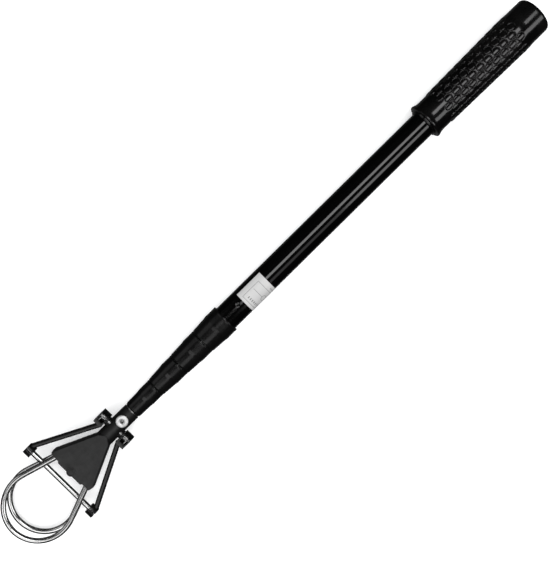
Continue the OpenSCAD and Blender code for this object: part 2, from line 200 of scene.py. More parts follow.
def sweep(name, path, across, r, sides):
    """A round wire along a path; across is each point's sideways direction.

    Its UVs run round the wire and along it, in tenths of a metre.
    """
    path, across = np.asarray(path, float), np.asarray(across, float)
    heading = np.gradient(path, axis=0)
    heading /= np.linalg.norm(heading, axis=1)[:, None]
    up = np.cross(heading, across)
    up /= np.linalg.norm(up, axis=1)[:, None]
    a = np.arange(sides) / sides * TAU
    ring = np.cos(a)[None, :, None] * across[:, None] + np.sin(a)[None, :, None] * up[:, None]
    verts = (path[:, None] + r * ring).reshape(-1, 3)
    run = np.concatenate([[0], np.cumsum(np.linalg.norm(np.diff(path, axis=0), axis=1))])
    uvs = np.stack(np.broadcast_arrays(a[None] / TAU, run[:, None] / 100), -1).reshape(-1, 2)
    faces = grid_faces(len(path), sides, False)
    last = (len(path) - 1) * sides
    faces += [tuple(range(sides))[::-1], tuple(range(last, last + sides))]
    piece = finish_mesh(name, verts, faces, 50, uvs)
    face_outwards(piece)
    return piece


def softened(name, node, width, steps, without=None):
    """A copy of a CAD node's shape with its sharp edges rounded, and its faces over a given area left out."""
    piece = bpy.data.objects.new(name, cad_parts[node].data.copy())
    piece.data.name = name
    piece.data.materials.clear()
    bpy.context.scene.collection.objects.link(piece)
    mesh = bmesh.new()
    mesh.from_mesh(piece.data)
    bmesh.ops.remove_doubles(mesh, verts=mesh.verts, dist=2 * MERGE * MM)
    bmesh.ops.dissolve_limit(mesh, angle_limit=math.radians(1.5), verts=mesh.verts, edges=mesh.edges)
    if without is not None:
        large = [f for f in mesh.faces if f.calc_area() > without * MM * MM]
        bmesh.ops.delete(mesh, geom=large, context="FACES")
        bmesh.ops.holes_fill(mesh, edges=[e for e in mesh.edges if e.is_boundary], sides=0)
        bmesh.ops.recalc_face_normals(mesh, faces=mesh.faces)
    mesh.to_mesh(piece.data)
    mesh.free()
    bevel = piece.modifiers.new("round", "BEVEL")
    bevel.width = width * MM
    bevel.segments = steps
    bevel.limit_method = "ANGLE"
    bevel.angle_limit = math.radians(32)
    apply_modifiers(piece)
    piece.data.polygons.foreach_set("use_smooth", [True] * len(piece.data.polygons))
    piece.data.set_sharp_from_angle(angle=math.radians(35))
    return piece


def apply_modifiers(piece):
    """Makes the evaluated mesh the piece's own."""
    graph = bpy.context.evaluated_depsgraph_get()
    made = bpy.data.meshes.new_from_object(piece.evaluated_get(graph))
    piece.modifiers.clear()
    piece.data = made


def fit(piece, body, node, material):
    """Puts a finished piece in place of its CAD node, on that node's body."""
    piece.data.materials.clear()
    piece.data.materials.append(material)
    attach(piece, body)
    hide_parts(node)
    return piece


# ---------------------------------------------------------------- materials

class Nodes:
    """A short way to write a procedural material."""

    def __init__(self, name):
        self.material = bpy.data.materials.new(name)
        self.material.use_nodes = True
        self.tree = self.material.node_tree
        self.tree.nodes.clear()
        self.shader = self.add("ShaderNodeBsdfPrincipled")
        out = self.add("ShaderNodeOutputMaterial")
        self.link(self.shader.outputs[0], out.inputs["Surface"])

    def add(self, kind, **settings):
        node = self.tree.nodes.new(kind)
        for key, value in settings.items():
            setattr(node, key, value)
        return node

    def link(self, start, end):
        self.tree.links.new(start, end)

    def put(self, socket, value):
        if isinstance(value, bpy.types.NodeSocket):
            self.link(value, socket)
        else:
            socket.default_value = value

    def set(self, **values):
        """Sets the shader's sockets: base_color=..., roughness=..."""
        for key, value in values.items():
            socket = self.shader.inputs[key.replace("_", " ").title().replace("Ior", "IOR")]
            self.put(socket, value)

    def place(self, scale=(1, 1, 1), source="Object"):
        """Texture coordinates, stretched by a scale on each axis."""
        coords = self.add("ShaderNodeTexCoord")
        mapping = self.add("ShaderNodeMapping")
        mapping.inputs["Scale"].default_value = scale
        self.link(coords.outputs[source], mapping.inputs["Vector"])
        return mapping.outputs[0]

    def noise(self, where, scale, detail=3.0, roughness=0.55):
        node = self.add("ShaderNodeTexNoise")
        self.put(node.inputs["Vector"], where)
        node.inputs["Scale"].default_value = scale
        node.inputs["Detail"].default_value = detail
        node.inputs["Roughness"].default_value = roughness
        return node.outputs["Fac"]

    def cells(self, where, scale):
        node = self.add("ShaderNodeTexVoronoi")
        self.put(node.inputs["Vector"], where)
        node.inputs["Scale"].default_value = scale
        return node.outputs["Distance"]

    def remap(self, value, low, high, to_low, to_high):
        node = self.add("ShaderNodeMapRange")
        self.put(node.inputs["Value"], value)
        for key, number in zip(("From Min", "From Max", "To Min", "To Max"), (low, high, to_low, to_high)):
            node.inputs[key].default_value = number
        return node.outputs["Result"]

    def blend(self, amount, first, second):
        """A mix of two colours."""
        node = self.add("ShaderNodeMix", data_type="RGBA")
        self.put(node.inputs["Factor"], amount)
        self.put(node.inputs["A"], first)
        self.put(node.inputs["B"], second)
        return node.outputs["Result"]

    def math(self, operation, first, second=0.0):
        node = self.add("ShaderNodeMath", operation=operation)
        self.put(node.inputs[0], first)
        self.put(node.inputs[1], second)
        return node.outputs[0]

    def bump(self, height, depth, strength=1.0, after=None):
        """A bump of a depth in millimetres; after is an earlier bump to add to."""
        node = self.add("ShaderNodeBump")
        node.inputs["Strength"].default_value = strength
        node.inputs["Distance"].default_value = depth * MM
        self.put(node.inputs["Height"], height)
        if after is not None:
            self.link(after, node.inputs["Normal"])
        return node.outputs["Normal"]


def grey(value, warm=0.0):
    """A grey of a given brightness, a little redder where warm is above 0."""
    return (value * (1 + warm), value, value * (1 - warm), 1)


def rubber():
    """Glossy black moulded rubber with a faint skin texture and paler, duller rubbed places."""
    m = Nodes("grip_rubber")
    here = m.place()
    worn = m.noise(here, 60, 4)
    m.set(
        base_color=m.blend(m.remap(worn, 0.4, 0.75, 0, 1), grey(0.0012), grey(0.0035, 0.03)),
        roughness=m.remap(worn, 0.3, 0.75, 0.11, 0.2),
    )
    skin = m.bump(m.noise(here, 2600, 2), 0.012, 0.4)
    m.set(normal=m.bump(m.noise(here, 350, 2), 0.025, 0.4, skin))
    m.shader.inputs["Specular IOR Level"].default_value = 0.62
    return m.material


def gloss_paint():
    """Gloss black paint with orange peel and hairline handling marks along the pole."""
    m = Nodes("pole_paint")
    here = m.place()
    marks = m.noise(m.place((6, 260, 260)), 9, 3, 0.7)
    dust = m.noise(here, 900, 2)
    rough = m.math("ADD", m.remap(marks, 0.5, 0.8, 0.08, 0.17), m.remap(dust, 0.6, 0.8, 0.0, 0.06))
    m.set(base_color=m.blend(m.remap(marks, 0.55, 0.8, 0, 1), grey(0.0006), grey(0.0022)), roughness=rough)
    m.set(coat_weight=0.25, coat_roughness=0.05)
    m.set(normal=m.bump(m.noise(here, 420, 2), 0.012, 0.6))
    return m.material


def drawn_metal():
    """Drawn aluminium: fine bright lines along the tube and a slightly cloudy skin."""
    m = Nodes("drawn_metal")
    lines = m.noise(m.place((1.5, 220, 220)), 14, 5, 0.7)
    cloud = m.noise(m.place(), 40, 3)
    m.set(
        metallic=1.0,
        base_color=m.blend(lines, grey(0.52), grey(0.68)),
        roughness=m.math("ADD", m.remap(lines, 0.2, 0.8, 0.2, 0.34), m.remap(cloud, 0.3, 0.8, 0.0, 0.1)),
        normal=m.bump(lines, 0.006, 0.5),
    )
    return m.material


def satin_plastic(name, tones, rough, grain=900, depth=0.03, shine=0.5):
    """Black moulded plastic with a spark-eroded grain; tones are its darkest and palest."""
    m = Nodes(name)
    m.shader.inputs["Specular IOR Level"].default_value = shine
    here = m.place()
    tone = m.noise(here, 70, 4)
    pits = m.cells(here, grain)
    m.set(
        base_color=m.blend(m.remap(tone, 0.35, 0.7, 0, 1), grey(tones[0]), grey(tones[1])),
        roughness=m.remap(m.noise(here, 300, 3), 0.3, 0.7, *rough),
    )
    coarse = m.bump(m.noise(here, grain * 0.45, 3), depth * 1.5, 0.6)
    m.set(normal=m.bump(pits, depth, 0.7, coarse))
    return m.material


def head_plastic():
    """Black moulded plastic with a grey eroded grain, painted paler on its flat faces and darker on the walls
    between them as painted light and shade.
    """
    m = Nodes("head_plastic")
    m.shader.inputs["Specular IOR Level"].default_value = 0.4
    here = m.place()
    coords = m.add("ShaderNodeTexCoord")
    axes = m.add("ShaderNodeSeparateXYZ")
    m.link(coords.outputs["Normal"], axes.inputs[0])
    # painted shade: faces not looking along Z (the walls) take a darker colour than the flat faces
    face = m.remap(m.math("ABSOLUTE", axes.outputs["Z"]), 0.9, 0.995, 0, 1)
    cloud = m.remap(m.noise(here, 190, 5, 0.65), 0.35, 0.7, 0, 1)
    painted_lit_face_grain = m.blend(cloud, grey(0.006), grey(0.014))
    m.set(
        base_color=m.blend(face, grey(0.0015), painted_lit_face_grain),
        roughness=m.remap(m.noise(here, 300, 3), 0.3, 0.7, 0.4, 0.52),
    )
    coarse = m.bump(m.noise(here, 420, 3), 0.05, 0.6)
    m.set(normal=m.bump(m.cells(here, 900), 0.03, 0.7, coarse))
    return m.material


def steel_wire(name, tone=0.9, rough=0.16):
    """Polished stainless wire with drawing lines along its length."""
    m = Nodes(name)
    along = m.noise(m.place((26, 0.9, 1), "UV"), 9, 4, 0.65)
    spots = m.remap(m.noise(m.place(), 160, 3), 0.55, 0.8, 0, 0.08)
    m.set(
        metallic=1.0,
        base_color=m.blend(along, grey(tone * 0.86), grey(tone)),
        roughness=m.math("ADD", m.remap(along, 0.25, 0.75, rough, rough + 0.06), spots),
        normal=m.bump(along, 0.003, 0.4),
    )
    return m.material


def turned_metal(centre):
    """A rivet's bright metal, with fine rings round its upright axis and painted shade in its hole."""
    tone, rough = 0.92, 0.38
    m = Nodes("rivet_metal")
    coords = m.add("ShaderNodeTexCoord")
    shift = m.add("ShaderNodeVectorMath", operation="SUBTRACT")
    shift.inputs[1].default_value = centre
    m.link(coords.outputs["Object"], shift.inputs[0])
    axes = m.add("ShaderNodeSeparateXYZ")
    m.link(shift.outputs[0], axes.inputs[0])
    squares = [m.math("POWER", axes.outputs[axis], 2) for axis in ("X", "Y")]
    middle = m.math("SQRT", m.math("ADD", *squares))
    # painted shade: inside the hole's radius the colour turns near black
    clear = m.remap(middle, 1.1 * MM, 1.35 * MM, 0, 1)
    bright = m.blend(m.noise(m.place(), 500, 3), grey(tone * 0.9), grey(tone))
    rings = m.add("ShaderNodeTexWave", wave_type="RINGS", rings_direction="Z")
    m.link(shift.outputs[0], rings.inputs["Vector"])
    rings.inputs["Scale"].default_value = 700
    m.set(
        metallic=1.0,
        base_color=m.blend(clear, grey(0.008), bright),
        roughness=m.remap(rings.outputs["Fac"], 0, 1, rough, rough + 0.08),
        normal=m.bump(rings.outputs["Fac"], 0.002, 0.3),
    )
    return m.material


def bush_plastic():
    """Natural acetal, slightly translucent and cloudy."""
    m = Nodes("bush_plastic")
    cloud = m.noise(m.place(), 120, 3)
    m.set(
        base_color=m.blend(cloud, (0.74, 0.72, 0.66, 1), (0.82, 0.81, 0.77, 1)),
        roughness=m.remap(cloud, 0.3, 0.7, 0.35, 0.5),
        subsurface_weight=0.15,
        normal=m.bump(m.noise(m.place(), 700, 2), 0.02, 0.4),
    )
    m.shader.inputs["Subsurface Radius"].default_value = (0.0015, 0.0014, 0.0012)
    return m.material


def label_paper():
    """White coated label with a generic print: a frame, a ring over a bar, and rows of ticks."""
    m = Nodes("label_paper")
    coords = m.add("ShaderNodeTexCoord")
    axes = m.add("ShaderNodeSeparateXYZ")
    m.link(coords.outputs["UV"], axes.inputs[0])
    u, v = axes.outputs["X"], axes.outputs["Y"]

    def band(value, centre, half):
        """1 where value is within half of centre."""
        return m.math("LESS_THAN", m.math("ABSOLUTE", m.math("SUBTRACT", value, centre)), half)

    def both(first, second):
        return m.math("MULTIPLY", first, second)

    def dashes(value, per_mm, filled):
        """1 on the filled part of each repeat along value."""
        return m.math("LESS_THAN", m.math("FRACT", m.math("MULTIPLY", value, per_mm)), filled)

    def either(*values):
        """1 where any of the values is 1."""
        total = values[0]
        for value in values[1:]:
            total = m.math("MAXIMUM", total, value)
        return total

    # u runs along the pole from 0 to 1, v round it; the print is laid out in millimetres on the sheet
    x = m.math("MULTIPLY", u, label_len)
    y = m.math("MULTIPLY", v, label_round)
    middle_x, middle_y = label_len * 0.5, label_round * 0.42
    outline = m.math(
        "SUBTRACT",
        both(band(x, middle_x + 1.2, 7.7), band(y, middle_y, 9.4)),
        both(band(x, middle_x + 1.2, 7.4), band(y, middle_y, 9.1)),
    )
    dx = m.math("SUBTRACT", x, middle_x - 0.4)
    dy = m.math("SUBTRACT", y, middle_y + 3.2)
    far = m.math("SQRT", m.math("ADD", both(dx, dx), both(dy, dy)))
    ring = band(far, 2.1, 0.17)
    bar = both(band(x, middle_x - 0.4, 0.14), band(y, middle_y - 3.4, 4.4))
    ticks = both(both(band(x, middle_x + 6.2, 0.85), band(y, middle_y - 1.0, 6.4)), dashes(y, 0.55, 0.42))
    small = both(both(band(x, middle_x - 8.6, 0.5), band(y, middle_y + 4.0, 3.2)), dashes(y, 0.9, 0.5))
    ink = either(outline, ring, bar, ticks, small)
    fibre = m.noise(m.place(), 1400, 4)
    paper = m.blend(m.noise(m.place(), 90, 3), grey(0.40), grey(0.47, 0.01))
    m.set(
        base_color=m.blend(both(ink, 0.8), paper, grey(0.07)),
        roughness=m.remap(fibre, 0.3, 0.7, 0.36, 0.5),
        normal=m.bump(fibre, 0.01, 0.35),
    )
    return m.material


def floor_paper():
    """Pale seamless floor with a barely visible mottle."""
    m = Nodes("floor_paper")
    m.set(base_color=m.blend(m.noise(m.place(), 6, 3), grey(0.87), grey(0.90)), roughness=0.9)
    m.set(emission_strength=0.2)
    m.shader.inputs["Emission Color"].default_value = (1, 1, 1, 1)
    m.shader.inputs["Specular IOR Level"].default_value = 0.1
    return m.material


# ---------------------------------------------------------------- grip

# The raised buttons: staggered rows round the grip
ROWS = 18
ROW_ANGLE = TAU / ROWS
FIRST_ROW = math.radians(-5.4)
PITCH = 7.6           # from button to button along a row
EVEN_FROM, EVEN_COUNT = 26.9, 9
ODD_FROM, ODD_COUNT = 23.1, 10
PATTERN_R = 13.2      # mean radius of the skin under the pattern
BUTTON_R = 2.42       # edge of a button's dome
BUTTON_RIM = 0.12     # how far inside that edge the fall into the groove starts
GROOVE_R = 2.72       # bottom of the groove round it
WEB_R = 3.1           # where the raised web between the buttons starts
LONG, WIDE = 1.10, 0.90
BUTTON_H, WEB_H, GROOVE_H = 0.68, 0.42, 0.02
DOME_DROP = 0.2       # how much lower a button is at its edge than in its middle
BAND_FROM, BAND_TO = 14.5, 95.5

# The smooth skin under the pattern
BUTT_R, BUTT_ROUND = 13.8, 2.8
GRIP_NECK_R = 12.6
TAPER_FROM, TAPER_TO = 18.4, 91.7
SKIN_X = np.arange(3.4, 101.5, 0.25)
FLARE_FROM, FLARE_LEN, FLARE = 101.5, 5.4, 1.08
MOUTH_X, MOUTH_R = 108.35, 13.05


def smooth(value, low, high):
    """0 below low, 1 above high, and an even curve between them."""
    t = np.clip((value - low) / (high - low), 0, 1)
    return t * t * (3 - 2 * t)


def button_height(x, angle):
    """Height of the grip's pattern at a place on its skin, in millimetres."""
    nearest = np.full(x.shape, 99.0)
    row = np.round((angle - FIRST_ROW) / ROW_ANGLE)
    for step in (-1, 0, 1):
        k = row + step
        across = (angle - FIRST_ROW - k * ROW_ANGLE) * PATTERN_R
        odd = np.mod(k, 2) > 0.5
        first = np.where(odd, ODD_FROM, EVEN_FROM)
        count = np.where(odd, ODD_COUNT, EVEN_COUNT)
        j = np.clip(np.round((x - first) / PITCH), 0, count - 1)
        along = x - first - j * PITCH
        nearest = np.minimum(nearest, np.hypot(along / LONG, across / WIDE))
    band = smooth(x, BAND_FROM, BAND_FROM + 6) * (1 - smooth(x, BAND_TO - 5.5, BAND_TO - 1.5))
    web = WEB_H * band
    groove = GROOVE_H - 0.1 * (1 - band)
    dome = BUTTON_H - DOME_DROP * np.clip(nearest / BUTTON_R, 0, 1) ** 2
    inner = smooth(nearest, BUTTON_R - BUTTON_RIM, GROOVE_R)
    outer = smooth(nearest, GROOVE_R, WEB_R)
    return np.where(nearest < GROOVE_R, dome + (groove - dome) * inner, groove + (web - groove) * outer)


def grip_outline():
    """The grip's outline (x, r) from the butt's middle to the bore, and which points have the pattern."""
    points = [(0.0, r) for r in np.linspace(0.0, 10.4, 8)]
    for bend in np.radians(np.linspace(-90, 0, 13)[1:]):
        along, out = BUTT_ROUND * math.sin(bend), BUTT_ROUND * math.cos(bend)
        points.append((BUTT_ROUND + along, BUTT_R - BUTT_ROUND + out))
    skin = slice(len(points), len(points) + len(SKIN_X))
    for x in SKIN_X:
        taper = np.clip((x - TAPER_FROM) / (TAPER_TO - TAPER_FROM), 0, 1)
        points.append((x, BUTT_R - (BUTT_R - GRIP_NECK_R) * taper))
    for t in np.linspace(0, 1, 12)[1:]:
        points.append((FLARE_FROM + FLARE_LEN * t, GRIP_NECK_R + FLARE * t ** 2.2))
    points += [(107.3, 13.73), (107.7, 13.72), (108.05, 13.6), (108.3, 13.35), (MOUTH_X, MOUTH_R)]
    for t in np.linspace(0, 1, 8)[1:]:
        points.append((MOUTH_X + 0.5 * math.sin(t * math.pi) - 0.35 * t, MOUTH_R - 1.75 * t))
    points += [(108.1, 11.1), (109.4, 10.95), (109.85, 10.8), (110.0, 10.5), (109.85, 10.1), (109.4, 9.62)]
    points += [(x, pole_r + GLUE_FIT) for x in (108.0, 95.0, 60.0, 3.3)]
    points.append((3.2, 0.0))
    return points, skin


def make_grip():
    """The rubber grip, with its pattern pressed into the turned skin."""
    outline, skin = grip_outline()

    def relief(x, angle):
        height = np.zeros(x.shape)
        height[skin] = button_height(x[skin], angle[skin])
        return height

    piece = lathe("grip", outline, closed=False, segments=360, sharp=60, height=relief)
    return fit(piece, "handle", "grip_sleeve", rubber())


# ---------------------------------------------------------------- pole

def make_pole():
    """The five tubes: the painted handle tube and the four bare ones inside it."""
    paint, bare = gloss_paint(), drawn_metal()
    for i in (1, 2, 3, 4, 5):
        node = "main_tube" if i == 1 else f"tube_{i}"
        x0, x1 = span(node)
        r = pole_r if i == 1 else radius(node)
        bore = r - TUBE_WALL
        outline = [(x0, bore, 0.1), (x0, r, 0.15), (x1, r, 0.15), (x1, bore, 0.1)]
        piece = lathe(node + "_skin", long_steps(rounded(outline, 4)), sharp=30)
        fit(piece, "handle" if i == 1 else f"section_{i}", node, paint if i == 1 else bare)
        if i == 1:
            stake(piece)


def long_steps(points, step=6.0):
    """Adds points along an outline's long straight stretches."""
    made = []
    for i, here in enumerate(points):
        after = points[(i + 1) % len(points)]
        count = max(1, int(np.linalg.norm(after - here) // step))
        made += [tuple(here + (after - here) * k / count) for k in range(count)]
    return made


# Staking dimples that lock the handle tube to its collar
STAKE_BACK = 13       # how far behind the collar they are
STAKE_R, STAKE_DEPTH = 1.7, 0.42
STAKE_ANGLES = (10, 130, 250)


def stake(piece):
    """Presses the staking dimples into the handle tube, after dividing its long faces there."""
    x_at = span("collar_1")[0] - STAKE_BACK
    skin_r = (pole_r - 0.1) * MM
    mesh = bmesh.new()
    mesh.from_mesh(piece.data)
    middles = [(f, f.calc_center_median()) for f in mesh.faces]
    near = [f for f, at in middles if abs(at.x / MM - x_at) < 6 and at.yz.length > skin_r]
    edges = list({e for f in near for e in f.edges if abs(e.verts[0].co.x - e.verts[1].co.x) > MM})
    bmesh.ops.subdivide_edges(mesh, edges=edges, cuts=15)
    for v in mesh.verts:
        out = Vector((0, v.co.y, v.co.z))
        if out.length < skin_r:
            continue
        for degrees in STAKE_ANGLES:
            a = math.radians(-degrees)
            middle = Vector((x_at, pole_r * math.sin(a), pole_r * math.cos(a))) * MM
            far = (v.co - middle).length / MM
            if far < STAKE_R:
                v.co -= out.normalized() * (STAKE_DEPTH * (1 - smooth(far, 0.2, STAKE_R))) * MM
    mesh.to_mesh(piece.data)
    mesh.free()


# The label starts past the top of the pole on the -Y side, and goes this far round it
LABEL_LEAD, LABEL_WRAP = math.radians(-45), math.radians(195)
LABEL_FACES = (0.004, 0.11)     # its inner and outer face, above the pole's skin
label_round = LABEL_WRAP * pole_r


def make_label():
    """The label: a thin sheet bent round the pole, with two faces and a rim."""
    rows, cols = 24, 120
    sheet, uvs = [], []
    for lift in LABEL_FACES:
        r = pole_r + lift
        for i in range(rows + 1):
            for j in range(cols + 1):
                u, v = i / rows, j / cols
                a = LABEL_LEAD + LABEL_WRAP * v
                sheet.append((label_from + label_len * u, r * math.sin(a), r * math.cos(a)))
                uvs.append((u, v))
    wide = cols + 1
    layer = (rows + 1) * wide
    faces = []
    for i in range(rows):
        for j in range(cols):
            a = i * wide + j
            faces.append((a, a + wide, a + wide + 1, a + 1))
            faces.append(tuple(layer + k for k in (a, a + 1, a + wide + 1, a + wide)))
    rim = [(0, j) for j in range(cols)] + [(i, cols) for i in range(rows)]
    rim += [(rows, j) for j in range(cols, 0, -1)] + [(i, 0) for i in range(rows, 0, -1)]
    order = [i * wide + j for i, j in rim]
    for k, a in enumerate(order):
        b = order[(k + 1) % len(order)]
        faces.append((a, b, layer + b, layer + a))
    piece = finish_mesh("label_sheet", sheet, faces, uvs=uvs)
    face_outwards(piece)
    fit(piece, "handle", "label", label_paper())


def make_collars():
    """The stepped collars; each one's nose meets the next collar, and the last one's the head."""
    tones, rough = (0.0015, 0.0035), (0.18, 0.27)
    plastic = satin_plastic("collar_plastic", tones, rough, grain=1200, depth=0.01, shine=0.36)
    for i in (1, 2, 3, 4):
        node = f"collar_{i}"
        x0, x1 = span(node)
        r = radius(node)
        seat_r = pole_r if i == 1 else radius(f"tube_{i}")
        bore_r = radius(f"tube_{i + 1}") + SLIDE_FIT
        nose_r = (radius(f"collar_{i + 1}") if i < 4 else NECK_R) + 0.25
        seat = x0 + SEAT_DEPTH
        outline = [
            (x0, seat_r + 0.01, 0.1), (x0, r - 0.05, 0.35), (x0 + 0.9, r, 0.4), (x0 + 1.8, r - 0.1, 0.6),
            (seat - 1.2, r - 0.04, 1.2), (seat + 1.2, r - 0.42, 1.2),
            (x1 - 1.0, nose_r, 0.6), (x1, nose_r - 0.35, 0.3), (x1, bore_r, 0.15),
            (seat, bore_r, 0.1), (seat, seat_r + 0.01, 0.1),
        ]
        piece = lathe(node + "_shell", outline, sharp=38)
        fit(piece, "handle" if i == 1 else f"section_{i}", node, plastic)


def make_inner_parts():
    """The plug and the bushes, which show only when the pole is taken apart."""
    acetal = bush_plastic()
    for i in (2, 3, 4, 5):
        x0, x1 = span(f"bush_{i}")
        r, inner = radius(f"bush_{i}"), radius(f"tube_{i}") + SLIDE_FIT
        floor = x0 + BUSH_DISC
        outline = [
            (x0, 0.0, 0), (x0, r, 0.35), (x1, r, 0.2), (x1, inner, 0.1), (floor, inner, 0.1), (floor, 0.0, 0),
        ]
        piece = lathe(f"bush_{i}_cup", outline, closed=False)
        fit(piece, f"slider_{i}", f"bush_{i}", acetal)
    x0, x1 = span("end_plug")
    flange_r, flange_to = pole_r - GLUE_FIT, x0 + PLUG_FLANGE
    stub_r = flange_r - TUBE_WALL
    outline = [
        (x0, 0.0, 0), (x0, flange_r, 0.2), (flange_to, flange_r, 0.1),
        (flange_to, stub_r, 0.1), (x1, stub_r, 0.6), (x1, 0.0, 0),
    ]
    piece = lathe("plug", outline, closed=False)
    black = satin_plastic("plug_plastic", (0.012, 0.02), (0.4, 0.55))
    fit(piece, "handle", "end_plug", black)


# ---------------------------------------------------------------- head

def make_head():
    """The two shells, the rivet, the screw and the gate's pin."""
    grain = head_plastic()
    for side in ("front", "back"):
        piece = softened(f"shell_{side}", f"head_shell_{side}", 0.6, 4)
        fit(piece, "section_5", f"head_shell_{side}", grain)
    rivet_low, rivet_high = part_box("head_rivet")
    centre = (rivet_low + rivet_high) / 2
    fit(turned_rivet(centre), "section_5", "head_rivet", turned_metal(centre))
    screw = softened("screw", "shell_screw", 0.15, 2)
    fit(screw, "section_5", "shell_screw", steel_wire("screw_metal", tone=0.2, rough=0.3))
    y0, y1 = hinge[0].y / MM, hinge[1].y / MM
    pin_r = (hinge[1].z - hinge[0].z) / 2 / MM
    pin = lathe("pin", [(y0, 0.0, 0), (y0, pin_r, 0.5), (y1, pin_r, 0.5), (y1, 0.0, 0)], closed=False)
    turn_to_y(pin, hinge_x, 0)
    fit(pin, "section_5", "pivot_pin", steel_wire("pin_metal", tone=0.42, rough=0.26))


def turn_to_y(piece, x, z):
    """Turns a part made along X so that it lies along Y at (x, z)."""
    swap = Matrix(((0, 1, 0, x * MM), (1, 0, 0, 0), (0, 0, -1, z * MM), (0, 0, 0, 1)))
    piece.data.transform(swap)


RIVET_SHANK_R, RIVET_HOLE_R, RIVET_HEAD_H = 2.2, 1.05, 0.8


def turned_rivet(centre):
    """The tubular rivet: rolled rims round a hole, both ends the same."""
    low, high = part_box("head_rivet")
    r, h = (high.x - low.x) / 2 / MM, (high.z - low.z) / 2 / MM
    face = h - RIVET_HEAD_H
    half = [
        (face, RIVET_SHANK_R, 0), (face, r, 0.2), (h - 0.3, r - 0.02, 0.3),
        (h, r - 0.9, 0.6), (h - 0.12, r - 2.0, 0.3),
        (h - 0.3, 1.7, 0.2), (face, RIVET_HOLE_R, 0.3),
    ]
    other = [(-x, y, f) for x, y, f in reversed(half)]
    piece = lathe("rivet", half + other, segments=96)
    # the lathe's axis X becomes Z at the rivet's centre
    stand = Matrix(((0, 0, 1, centre.x), (0, 1, 0, 0), (1, 0, 0, 0), (0, 0, 0, 1)))
    piece.data.transform(stand)
    return piece


# The loops' shape, by the same rules as the CAD design
SHOW = 0.02           # how much thinner a drawn wire is than its CAD one, so that it stays in the CAD box
SHELL_BULGE = 1.2     # how far the shells' ends bulge past the loops' own origin
LOOP_R, LOOP_REACH, LEG_Y, LEG_Z = 24.0, 30.1, 15.1, 5.4
LOOP_TILT, LOOP_YAW = math.radians(6.6), math.radians(2)
LEG_INSET, HOOK_R, HOOK_LEN, WIRE_R = 9.6, 3.0, 3.0, 2.0
LEG_SLOPE = math.asin(LOOP_R / math.hypot(LOOP_REACH, LEG_Y)) - math.atan2(LEG_Y, LOOP_REACH)
END_X = span("head_shell_front")[1] - SHELL_BULGE


def arc(centre, r, start, end, steps):
    """Points round an arc in the loop's plane, and their outward directions."""
    a = np.linspace(start, end, steps + 1)
    out = np.stack([np.cos(a), np.sin(a), np.zeros_like(a)], -1)
    return np.array([*centre, 0.0]) + r * out, out


def loop_path():
    """The whole path of a loop in its own plane, from one hook round to the other."""
    turn = math.pi / 2 + LEG_SLOPE
    leg = np.array([math.cos(LEG_SLOPE), math.sin(LEG_SLOPE)])
    bend = np.array([0, LEG_Y]) - LEG_INSET * leg - HOOK_R * np.array([-leg[1], leg[0]])
    tip = np.array([[bend[0] - HOOK_R, bend[1] - HOOK_LEN, 0.0]])
    corner, corner_out = arc(bend, HOOK_R, math.pi, turn, 10)
    ring, ring_out = arc((LOOP_REACH, 0.0), LOOP_R, turn, -turn, 180)
    joint = corner[-1] + (ring[0] - corner[-1]) * np.linspace(0, 1, 14)[1:-1, None]
    half = np.concatenate([tip, corner, joint])
    half_out = np.concatenate([[[-1.0, 0, 0]], corner_out, np.repeat(ring_out[:1], len(joint), 0)])
    flip = np.array([1, -1, 1])
    path = np.concatenate([half, ring, half[::-1] * flip])
    out = np.concatenate([half_out, ring_out, half_out[::-1] * flip])
    return path, out


def make_loops():
    """The two loops, tilted away from each other and turned a little sideways."""
    wire = steel_wire("steel_wire")
    path, out = loop_path()
    for side, name in ((1, "front"), (-1, "back")):
        piece = sweep(f"wire_{name}", path, out, WIRE_R - SHOW, 28)
        turn = Matrix.Rotation(LOOP_YAW, 4, "Z") @ Matrix.Rotation(-side * LOOP_TILT, 4, "Y")
        piece.data.transform(Matrix.Translation(Vector((END_X, 0, side * LEG_Z)) * MM) @ turn)
        fit(piece, "section_5", f"loop_{name}", wire)


# ---------------------------------------------------------------- gate

def gate_place():
    """From the gate's own frame, with its bar on +X, to where the gate rests."""
    return Matrix.Translation((hinge_x * MM, 0, 0)) @ Matrix.Rotation(rest_angle, 4, "Y")


# An arm's rod, by the same sizes as the CAD design
ROD_FROM, ROD_TO = np.array([5.2, 8.65, 0.0]), np.array([50.0, 31.2, 0.0])
ROD_W, ROD_H, ROD_ROUND = 3.7, 4.4, 1.5
ROD_FACE = 100        # square millimetres; only the rod's own faces are larger
ROD_STEPS = 14


def arm_rod(side):
    """An arm's rod with its long edges rounded over, in the gate's frame; side is 1 for +Y and -1 for -Y."""
    flip = np.array([1, side, 1])
    along = (ROD_TO - ROD_FROM) / np.linalg.norm(ROD_TO - ROD_FROM)
    across = np.array([-along[1], along[0], 0])
    half_w, half_h = ROD_W / 2, ROD_H / 2
    corners = [(-half_w, -half_h), (half_w, -half_h), (half_w, half_h), (-half_w, half_h)]
    section = np.array(rounded([(u, v, ROD_ROUND) for u, v in corners], 7))
    stations = np.linspace(0, 1, ROD_STEPS + 1)[:, None, None]
    ring = section[:, :1] * across + section[:, 1:] * np.array([0, 0, 1])
    verts = (ROD_FROM + stations * (ROD_TO - ROD_FROM) + ring) * flip
    count = len(section)
    faces = grid_faces(ROD_STEPS + 1, count, False)
    faces += [tuple(range(count)), tuple(range(ROD_STEPS * count, (ROD_STEPS + 1) * count))]
    return verts.reshape(-1, 3), faces


